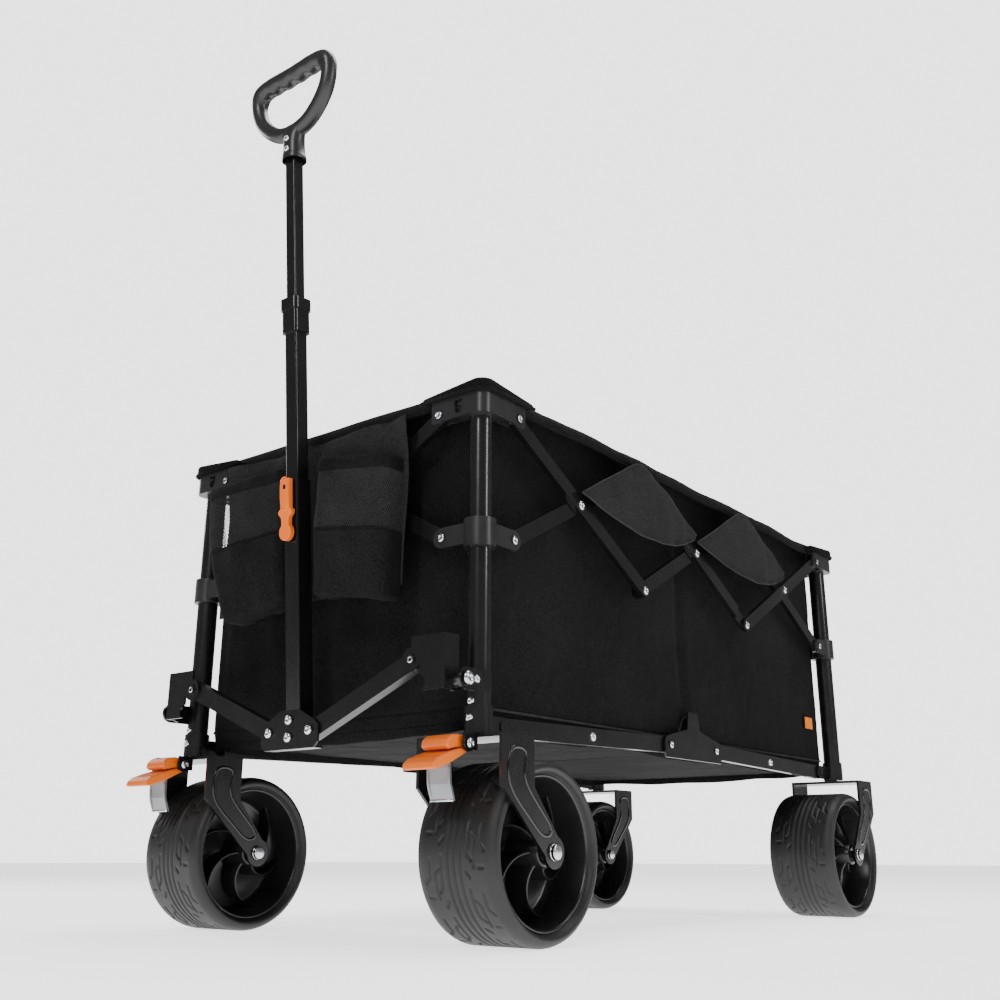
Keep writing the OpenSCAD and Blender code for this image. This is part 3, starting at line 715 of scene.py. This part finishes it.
def wall_surface(v, lift):
    """Shared profile of the walls: (outward offset, height) at v, before wrinkles."""
    if v <= ROLL_FROM:
        return 0.0, SEAM_Z + (CAP_TOP - ROLL_START - SEAM_Z) * (v / ROLL_FROM)
    out, up = hem_roll((v - ROLL_FROM) / (1 - ROLL_FROM))
    return out, CAP_TOP + up + lift


def belly_at(v):
    """How far a wall can move: 0 at its seam and at the rolled rim, 1 half way between."""
    return math.sin(math.pi * v / ROLL_FROM) if v < ROLL_FROM else 0


def notch(s):
    return NOTCH_HEIGHT * bump_at(s, 0, NOTCH_WIDTH)


def side_wall(side, tag, body):
    length = HALF_L - WALL
    joint = abs(pivot("right_cross_2").y - pivot("right_low_2").y)

    def point(u, v):
        s = (2 * u - 1) * length
        lift = 3 * MM * (bump_at(s, -joint, 0.05) + bump_at(s, joint, 0.05)) + soft((s, 0, 3), 9, 5 * MM)
        out, z = wall_surface(v, lift)
        belly = belly_at(v)
        pleat = bump_at(s, 0, 0.011)
        across = abs(math.sin(math.pi * s / length))
        out += belly * (-4 * MM * across - 9 * MM * pleat)
        out += belly * (soft((s, z, side), 7, 3 * MM) + soft((s, z, side), 19, 1.5 * MM))
        out += 0.8 * MM * soft((s, z, side), 60, 1)
        rise = notch(s) * ease(1 - v / 0.12)
        return Vector((side * (HALF_W - WALL + out), MID_Y + s, z + rise))

    return surface("side_wall_" + tag, point, 150, 60, CANVAS, body=body, slot="canvas")


def seam_line(name, points, radius, mat, normal, body):
    return sweep(name, smooth_path(points, 4), lambda i: ring(radius, radius, 8), mat, normal, body=body,
                 slot="canvas")


FRONT_CORNER = {"right": "corner_fr", "left": "corner_fl"}


def walls():
    for side, tag in SIDES:
        body = FRONT_CORNER[tag]
        wall = side_wall(side, tag, body)
        length = HALF_L - WALL
        x = HALF_W - WALL + 1.6 * MM
        steps = np.linspace(-length, length, 33)
        low = [Vector((side * x, MID_Y + s, SEAM_Z + notch(s) - 1 * MM)) for s in steps]
        piping = seam_line("piping_" + tag, low, 1.7 * MM, THREAD, (1, 0, 0), body)
        edge = [Vector((side * (x + 25.6 * MM), MID_Y + s, CAP_TOP - 3 * MM + soft((s, 0, 3), 9, 5 * MM)))
                for s in steps]
        binding = seam_line("binding_" + tag, edge, 2.0 * MM, TAPE, (1, 0, 0), body)

        def skirt_point(u, v):
            s = (2 * u - 1) * length
            sag = 5 * MM * abs(math.sin(3 * math.pi * u)) + soft((s, 1, side), 12, 3 * MM)
            z = SEAM_Z + notch(s) * (1 - v) - v * (25 * MM + sag)
            return Vector((side * (x - 1.5 * MM - 7 * MM * v), MID_Y + s, z))

        skirt = surface("skirt_" + tag, skirt_point, 90, 6, CANVAS, body=body, slot="canvas")
        if side > 0:
            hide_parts("fabric_basket")
        for piece in (wall, skirt, piping, binding):
            fold_y(piece)
        thicken(wall, SKIN)
        thicken(skirt, SKIRT_SKIN)
    for sy, tag, body in ((-1, "front", "corner_fr"), (1, "rear", "corner_rr")):
        width = HALF_W - WALL

        def point(u, v):
            s = (2 * u - 1) * width
            out, z = wall_surface(v, soft((s, 5, sy), 9, 2.5 * MM))
            belly = belly_at(v)
            drape = soft((s * 1.6, z * 0.5, sy), 13, 9 * MM) + soft((s, z, sy), 30, 2.5 * MM)
            out += belly * (2 * MM + drape) * ease((width - abs(s)) / 0.04)
            return Vector((s, MID_Y + sy * (HALF_L - WALL + out), z))

        wall = surface("end_wall_" + tag, point, 90, 60, CANVAS, body=body, slot="canvas")

        def skirt_point(u, v):
            s = (2 * u - 1) * width
            sag = 6 * MM * math.sin(math.pi * u) + soft((s, 2, sy), 14, 3 * MM)
            return Vector((s, MID_Y + sy * (HALF_L - WALL - 5 * MM * v), SEAM_Z - v * (24 * MM + sag)))

        skirt = surface("end_skirt_" + tag, skirt_point, 50, 6, CANVAS, body=body, slot="canvas")
        steps = np.linspace(-width, width, 15)
        edge_y = MID_Y + sy * (HALF_L - WALL + 27 * MM)
        edge = [Vector((s, edge_y, CAP_TOP - 3 * MM + soft((s, 5, sy), 9, 2.5 * MM))) for s in steps]
        binding = seam_line("end_binding_" + tag, edge, 2.0 * MM, TAPE, (0, 1, 0), body)
        for piece in (wall, skirt, binding):
            fold_x(piece)
        thicken(wall, SKIN)
        thicken(skirt, SKIRT_SKIN)


def floor_sheets():
    """Two floor panels, front and rear, between the side rails."""
    for sy, tag, body in ((-1, "front", "side_rail_fr"), (1, "rear", "side_rail_rr")):
        width, length = HALF_W - WALL - 9 * MM, HALF_L - WALL - 2 * MM

        def point(u, v):
            s = (2 * u - 1) * width
            dip = 4 * MM * math.sin(math.pi * u) * math.sin(math.pi * v) + soft((s, v, sy), 8, 1.5 * MM)
            return Vector((s, MID_Y + sy * v * length, FLOOR_Z + 4 * MM - dip))

        sheet = surface("floor_" + tag, point, 40, 40, CANVAS, body=body, slot="canvas")
        fold_x(sheet)
        thicken(sheet, 2.0 * MM)


def corner_covers():
    """Smooth padded covers over the corner caps, continuing the rolled rim."""
    reach, out, inner, r = 74, 26.5, -18, 17  # from the post centre, and the corner's radius
    for corner, sx, sy, _ in CORNERS:
        quarter = np.linspace(0, math.pi / 2, 9)
        arc = [(out - r + r * math.sin(a), out - r + r * math.cos(a)) for a in quarter]
        edge = [(-reach, out)] + arc + [(out, -reach)]
        outline = edge + [(inner, -reach), (inner, inner), (-reach, inner)]

        def place(a, b, c):
            return Vector((sx * (HALF_W + a * MM), MID_Y + sy * (HALF_L + b * MM), CAP_TOP + c * MM))

        def crowned(a, b, c):
            end = max(-a, -b) > reach - 1
            return place(a, b, c * (0.5 if end and c > 8 else 1))

        cover = prism("corner_cover_" + corner, outline, (0.4, 15), crowned, TAPE,
                      body="corner_" + corner, slot="canvas")
        bevel(cover, 6.5 * MM, 5, 30)
        cover.data.shade_smooth()
        lip = [place(a, b, 1.0) for a, b in edge]
        sweep("corner_lip_" + corner, lip, lambda i: ring(2.6 * MM, 2.6 * MM, 10), TAPE, (0, 0, 1),
              body="corner_" + corner, slot="canvas")


def flap(name, side, apex, left, right, body):
    """A canvas flap over a top scissor joint, with a round apex and a sagging lower edge."""
    low_left = left + Vector((0, 0.135, -0.0435))
    low_right = left + Vector((0, 0.245, -0.0375))
    rounded = 0.14  # share of the upper edges taken up by the apex

    def point(u, v):
        before, after = left.lerp(apex, min(u * 2, 1)), apex.lerp(right, max(u * 2 - 1, 0))
        top = before if u < 0.5 else after
        t = (u - 0.5) / rounded + 0.5
        if 0 < t < 1:
            a, b = left.lerp(apex, 1 - rounded), apex.lerp(right, rounded)
            top = a * (1 - t) ** 2 + apex * 2 * t * (1 - t) + b * t * t
        base = (left * (1 - u) ** 3 + low_left * 3 * u * (1 - u) ** 2 + low_right * 3 * u * u * (1 - u)
                + right * u ** 3)
        p = top + (base - top) * v
        belly = math.sin(math.pi * u) ** 0.7 * (0.35 + 0.65 * math.sin(math.pi * min(v, 0.9)))
        fold = 2.2 * MM * math.cos((u - 0.45) * 40) * ease((u - 0.4) * 4) * v
        out = 5 * MM + 13 * MM * belly + fold + soft(p, 25, 3 * MM)
        return Vector((side * (HALF_W + BAR_FACE + 2.2 * MM + out), p.y, p.z))

    piece = surface(name, point, 60, 30, GREY, body=body, slot="canvas")
    hems = []
    for ending, v, radius in (("_hem", 1.0, 1.3 * MM), ("_top_hem", 0.0, 1.2 * MM)):
        edge = [point(u, v) for u in np.linspace(0, 1, 25)]
        hems.append(sweep(name + ending, edge, lambda i: ring(radius, radius, 8), THREAD, (1, 0, 0),
                          body=body, slot="canvas"))
    for one in (piece, *hems):
        fold_y(one)
    thicken(piece, SKIN)


def flaps():
    joint = abs(pivot("right_low_2").y - pivot("right_cross_2").y)
    for side, tag in SIDES:
        for n, at in ((1, -joint), (2, joint)):
            y = MID_Y + at
            apex = Vector((0, y - 0.02, CAP_TOP + 0.001))
            left, right = Vector((0, y - 0.165, 0.551)), Vector((0, y + 0.143, 0.561))
            flap(f"flap_{tag}_{n}", side, apex, left, right, FRONT_CORNER[tag])


# ---- front pockets ----


POCKET_DEPTH, POCKET_ROUND = 33 * MM, 14 * MM  # a pocket's depth and the radius of its edges
BAND, NET_FROM = 15 * MM, 90 * MM  # height of the hem band, and of the net's lower edge
PANEL_LEFT, PANEL_WIDTH = -0.19, 0.345


def pocket_path(left, right, back):
    """Plan of a pocket: from the back left, round the front, to the back right."""
    r = POCKET_ROUND
    bend_y = back - POCKET_DEPTH + r
    quarter = np.linspace(0, math.pi / 2, 6)
    points = [(left, back), (left, bend_y)]
    points += [(left + r - r * math.cos(a), bend_y - r * math.sin(a)) for a in quarter]
    points += [(right - r + r * math.sin(a), bend_y - r * math.cos(a)) for a in quarter]
    points += [(right, bend_y), (right, back)]
    return [Vector((x, y, 0)) for x, y in points]


def resample(path, count):
    """The same path with that many evenly spaced points."""
    lengths = [0.0]
    for a, b in zip(path, path[1:]):
        lengths.append(lengths[-1] + (b - a).length)
    out = []
    for target in np.linspace(0, lengths[-1], count):
        i = min(max(np.searchsorted(lengths, target) - 1, 0), len(path) - 2)
        f = (target - lengths[i]) / max(lengths[i + 1] - lengths[i], 1e-9)
        out.append(path[i].lerp(path[i + 1], f))
    return out


def pocket(tag, left, right, lean, slope, raised, body):
    """A cup pocket; lean moves its bottom sideways, raised lifts it, slope drops the right end."""
    box_low, box_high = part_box("front_pockets")
    low_z, high_z = box_low[2] + raised, box_high[2]
    band, mesh_low = high_z - BAND, low_z + NET_FROM - raised
    back = MID_Y - HALF_L - 23.5 * MM
    columns = 48
    plan = resample(pocket_path(left, right, back), columns + 1)
    middle = (left + right) / 2
    sag = 9 * MM * (1 if lean else 0.3)

    def at(k, z):
        p = plan[k]
        t = (high_z - z) / (high_z - low_z)
        share = (p.x - left) / (right - left)
        x = p.x + lean * t * t * (1 - 0.75 * share)
        bulge = 6 * MM * math.sin(math.pi * k / columns) * math.sin(math.pi * min(t, 1))
        ripple = soft((x, z, 7), 24, 6 * MM) * math.sin(math.pi * k / columns)
        droop = -sag * (1 - ((x - middle) / (right - left)) ** 2) * ease((t - 0.7) / 0.3)
        tilt = slope * (share if slope < 0 else share * t)
        return Vector((x, p.y - bulge - ripple, z + droop + tilt))

    def between(f, z):
        """The same at a column that isn't a whole number."""
        a, b = int(f), min(int(f) + 1, columns)
        return at(a, z).lerp(at(b, z), f - a)

    rows = 20
    heights = [low_z + (mesh_low - low_z) * i / rows for i in range(rows, -1, -1)]
    verts = [at(k, z) for z in heights for k in range(columns + 1)]
    centre = Vector((middle + lean, back - 10 * MM, low_z - 4 * MM))
    bottom = ((0.97, -2.5), (0.88, -5.5), (0.6, -7.5), (0.25, -8))  # share of the outline, and drop
    for share, drop in bottom:
        down = Vector((0, 0, drop * MM))
        verts += [centre.lerp(at(k, low_z), share) + down for k in range(columns + 1)]
    faces = quads(len(heights) + len(bottom), columns + 1)
    lower = make(f"pocket_{tag}", verts, faces, CANVAS, body=body, slot="canvas")
    strands, up = 60, 26
    verts, faces = [], []
    for i in range(up + 1):
        z = mesh_low + (band - mesh_low) * i / up
        for k in range(strands + 1):
            shift = 0.5 if i % 2 else 0.0
            verts.append(between(min(k + shift, strands) / strands * columns, z))
    for i in range(0, up - 1):
        for k in range(strands):
            lower_row, mid_row, top_row = (n * (strands + 1) for n in (i, i + 1, i + 2))
            first = mid_row + k + (0 if i % 2 == 0 else 1) - 1
            if first < mid_row or first + 1 > mid_row + strands:
                continue
            faces.append((lower_row + k, first + 1, top_row + k, first))
    net = make(f"pocket_net_{tag}", verts, faces, NET, body=body, slot="canvas")
    wire = net.modifiers.new("strands", "WIREFRAME")
    wire.thickness = 0.9 * MM
    wire.use_replace = True

    def band_point(u, v):
        z = band - 2 * MM + (high_z - band + 2 * MM) * v
        return between(u * columns, z) + Vector((0, -1.2 * MM * math.sin(math.pi * v), 0))

    hem = surface(f"pocket_hem_{tag}", band_point, columns, 5, TAPE, body=body, slot="canvas")
    seam = [at(k, mesh_low) + Vector((0, -0.8 * MM, 0)) for k in range(columns + 1)]
    line = sweep(f"pocket_seam_{tag}", seam, lambda i: ring(0.9 * MM, 0.9 * MM, 8), TAPE, (0, 0, 1),
                 body=body, slot="canvas")
    for one in (lower, net, hem, line):
        fold_x(one)
    thicken(lower, 1.3 * MM)
    thicken(hem, 2.4 * MM)
    return lower


def pockets():
    body = "corner_fr"
    right = pocket("right", 22 * MM, 149 * MM, 0.0, -20 * MM, 12 * MM, body)
    pocket("left", -200 * MM, -40 * MM, 50 * MM, 16 * MM, 4 * MM, body)
    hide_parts("front_pockets")
    back = MID_Y - HALF_L - 22 * MM
    low_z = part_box("front_pockets")[0][2]

    def point(u, v):
        s = PANEL_LEFT + PANEL_WIDTH * u
        top = CAP_TOP - 6 * MM - 6 * MM * math.sin(math.pi * u) + soft((s, 0, 4), 18, 8 * MM)
        z = top - v * (top - low_z - 6 * MM)
        upper = ease(1 - v * 2.6)
        fold = (7 * MM * math.sin(u * 19 + v * 5) + soft((s * 2, z * 3, 11), 14, 12 * MM)) * upper
        out = 2 * MM + 5 * MM * upper + fold * 0.35
        return Vector((s + 3 * MM * math.sin(v * 5), back - out, z))

    panel = surface("pocket_panel", point, 80, 40, GREY, body=body, slot="canvas")
    fold_x(panel)
    thicken(panel, 1.2 * MM)


def label():
    """A plain woven tab near the rear lower corner of the right wall."""
    y, z = MID_Y + HALF_L - 62 * MM, SEAM_Z + 62 * MM
    x = HALF_W - WALL + 5 * MM
    wide, tall = 30 * MM, 20 * MM

    def point(u, v):
        return Vector((x + 0.6 * MM * math.sin(math.pi * u), y + (u - 0.5) * wide, z + (v - 0.5) * tall))

    tab = surface("woven_tab", point, 12, 8, LABEL, body="corner_fr", slot="canvas")
    fold_y(tab)
    thicken(tab, 1.0 * MM)


# ---- camera, light and floor ----


# the photo's camera, fitted to the frame: degrees, metres from the wagon's middle, and a 36 mm sensor
CAMERA_TURN, CAMERA_CLIMB, CAMERA_ROLL = 38.3108, 17.5759, 0.118
CAMERA_PLACE = (1.0651, -1.4889, 0.0954)
CAMERA_LENS = 40.54
GROUND_HALF = 14
# name, place, aim, power, width, height
LAMPS = (
    ("key", (0.9, -3.2, 2.6), (0, 0, 0.5), 60, 0.5, 1.8),
    ("side_strip", (3.4, 0.5, 2.0), (0.2, 0, 0.4), 40, 0.4, 1.6),
    ("left_fill", (-3.2, -0.3, 2.2), (0, 0, 0.5), 45, 0.8, 1.6),
    ("top", (0.2, 0.6, 3.2), (0, 0, 0.5), 75, 1.6, 1.6),
)


def stage():
    turn, climb, roll = (math.radians(a) for a in (CAMERA_TURN, CAMERA_CLIMB, CAMERA_ROLL))
    ahead = Vector((-math.sin(turn) * math.cos(climb), math.cos(turn) * math.cos(climb), math.sin(climb)))
    right = Vector((math.cos(turn), math.sin(turn), 0))
    above = right.cross(ahead)
    right, above = (right * math.cos(roll) + above * math.sin(roll),
                    above * math.cos(roll) - right * math.sin(roll))
    camera = bpy.data.objects.new("camera", bpy.data.cameras.new("camera"))
    bpy.context.collection.objects.link(camera)
    place = Vector(CAMERA_PLACE) + Vector((0, MID_Y, 0))
    camera.matrix_world = Matrix((
        (right.x, above.x, -ahead.x, place.x), (right.y, above.y, -ahead.y, place.y),
        (right.z, above.z, -ahead.z, place.z), (0, 0, 0, 1)))
    camera.data.sensor_width = 36
    camera.data.lens = CAMERA_LENS
    camera.data.clip_start = 0.02
    bpy.context.scene.camera = camera

    ground, tree, shader, spot = start("studio_floor", Roughness=0.6)
    pale = put(tree, "ShaderNodeTexNoise", {"Vector": spot}, Scale=0.7, Detail=2.0)
    tone = ramp(tree, pale.outputs["Fac"], (0.86, 0.86, 0.86), (0.9, 0.9, 0.9))
    tree.links.new(tone, shader.inputs["Base Color"])
    shader.inputs["Emission Color"].default_value = (1, 1, 1, 1)
    shader.inputs["Emission Strength"].default_value = 1.7
    square = [(x * GROUND_HALF, y * GROUND_HALF, 0) for x, y in ((-1, -1), (1, -1), (1, 1), (-1, 1))]
    floor = make("floor", square, [(0, 1, 2, 3)], ground)

    world = bpy.context.scene.world or bpy.data.worlds.new("studio")
    bpy.context.scene.world = world
    world.use_nodes = True
    sky = world.node_tree
    sky.nodes["Background"].inputs["Color"].default_value = (1, 1, 1, 1)
    # a bright backdrop for the camera, a dim one for the light on the wagon
    seen = put(sky, "ShaderNodeLightPath").outputs["Is Camera Ray"]
    sky.links.new(spread(sky, seen, 0.2, 2.8), sky.nodes["Background"].inputs["Strength"])

    for name, place, aim, power, width, height in LAMPS:
        light = bpy.data.lights.new(name, "AREA")
        light.shape = "RECTANGLE"
        light.energy = power
        light.size = width
        light.size_y = height
        lamp = bpy.data.objects.new(name, light)
        bpy.context.collection.objects.link(lamp)
        lamp.location = place
        lamp.rotation_euler = (Vector(aim) - Vector(place)).to_track_quat("-Z", "Y").to_euler()


stage()
dress_frame()
wheels()
fork_trim()
brakes()
latch()
grip()
rivets()
mount_rivets()
walls()
floor_sheets()
corner_covers()
flaps()
pockets()
label()
